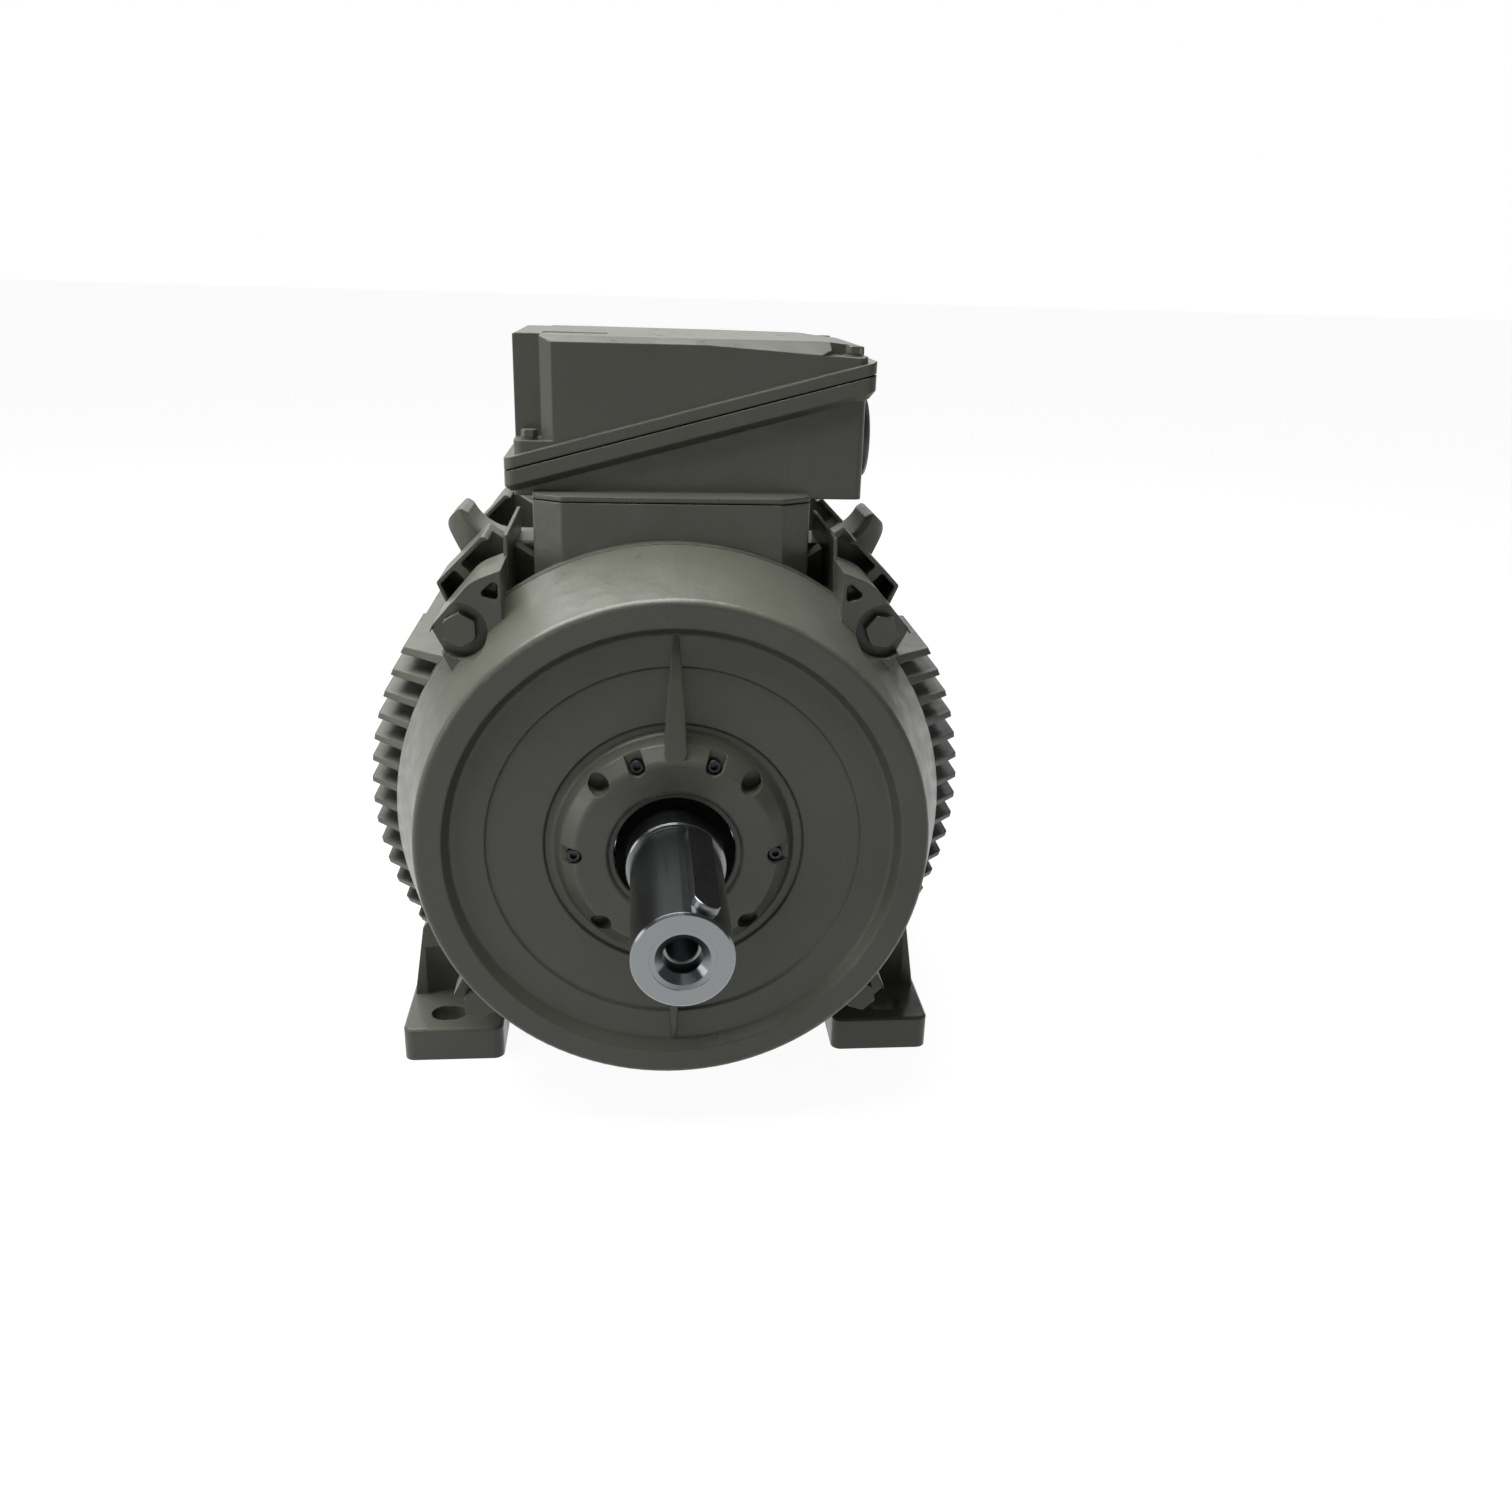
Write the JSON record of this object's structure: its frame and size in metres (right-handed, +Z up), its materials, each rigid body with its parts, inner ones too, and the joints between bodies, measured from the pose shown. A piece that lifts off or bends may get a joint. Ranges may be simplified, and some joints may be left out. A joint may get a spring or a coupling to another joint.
{
  "type": "electric motor",
  "caption": "Foot-mounted cage induction motor with ribbed cast frame, sloping terminal box, keyed drive shaft and a shaft fan under a slotted cover.",
  "frame": {"origin": "centre of the four foot slots, in the plane the feet stand on", "axes": "+Z up, -Y along the drive shaft out of the drive end, +X to the right seen from the drive end; the shaft axis is 200 mm above the origin"},
  "size_m": [0.4008, 0.72, 0.496],
  "materials": {
    "cast_paint": "semi-gloss stone-grey paint on fine-textured cast iron",
    "cover_paint": "semi-gloss stone-grey paint on pressed steel",
    "machined_steel": "turned and ground steel",
    "zinc_steel": "bright zinc-plated steel",
    "painted_steel": "steel painted over with the casting",
    "dark_steel": "black oxide steel",
    "bearing_steel": "ground and polished",
    "cage_steel": "pressed steel",
    "lamination_steel": "stacked electrical sheet",
    "winding": "varnished copper coils",
    "cast_aluminium": "as cast",
    "plain_iron": "machined cast iron",
    "black_rubber": "matt",
    "fan_plastic": "moulded",
    "plug_plastic": "moulded",
    "drain_plastic": "moulded",
    "board_resin": "moulded resin",
    "brass": "plain",
    "plate_metal": "plain"
  },
  "bodies": {
    "stator": {"stator_frame": "cast_paint", "endshield_de": "cast_paint", "endshield_nde": "cast_paint", "endshield_bolts_de": "painted_steel", "endshield_bolts_nde": "painted_steel", "bearing_cap_de": "plain_iron", "bearing_cap_nde": "plain_iron", "cap_screws_de": "dark_steel", "cap_screws_nde": "dark_steel", "bearing_outer_ring_de": "bearing_steel", "bearing_outer_ring_nde": "bearing_steel", "preload_spring": "dark_steel", "stator_core": "lamination_steel", "end_winding_de": "winding", "end_winding_nde": "winding", "fan_cover": "cover_paint", "fan_cover_screws": "zinc_steel", "terminal_box_base": "cast_paint", "terminal_box_lid": "cast_paint", "lid_gasket": "black_rubber", "base_gasket": "black_rubber", "lid_screws": "painted_steel", "base_screws": "zinc_steel", "terminal_board": "board_resin", "terminal_studs": "brass", "terminal_links": "brass", "terminal_nuts": "brass", "inner_earth_screw": "zinc_steel", "cable_entry_plugs": "plug_plastic", "plug_seals": "black_rubber", "rating_plate": "plate_metal", "rating_plate_rivets": "plate_metal", "outer_earth_terminal": "zinc_steel", "drain_plugs": "drain_plastic"},
    "rotor": {"shaft": "machined_steel", "shaft_key": "machined_steel", "rotor_core": "lamination_steel", "rotor_cage": "cast_aluminium", "bearing_inner_ring_de": "bearing_steel", "bearing_inner_ring_nde": "bearing_steel", "v_ring_de": "black_rubber", "v_ring_nde": "black_rubber", "fan": "fan_plastic", "fan_key": "machined_steel", "fan_circlip": "dark_steel"},
    "de_cage": {"bearing_balls_de": "bearing_steel", "bearing_cage_de": "cage_steel"},
    "nde_cage": {"bearing_balls_nde": "bearing_steel", "bearing_cage_nde": "cage_steel"}
  },
  "joints": [
    {"name": "rotor_spin", "type": "hinge", "parent": "stator", "child": "rotor", "pos_m": [0, -0.2855, 0.2], "axis": [0, 1, 0], "continuous": true},
    {"name": "de_cage_spin", "type": "hinge", "parent": "stator", "child": "de_cage", "pos_m": [0, -0.2365, 0.2], "axis": [0, 1, 0], "continuous": true},
    {"name": "nde_cage_spin", "type": "hinge", "parent": "stator", "child": "nde_cage", "pos_m": [0, 0.2255, 0.2], "axis": [0, 1, 0], "continuous": true}
  ],
  "couplings": [
    {"joint": "de_cage_spin", "follows": "rotor_spin", "ratio": 0.4071},
    {"joint": "nde_cage_spin", "follows": "rotor_spin", "ratio": 0.4071}
  ]
}
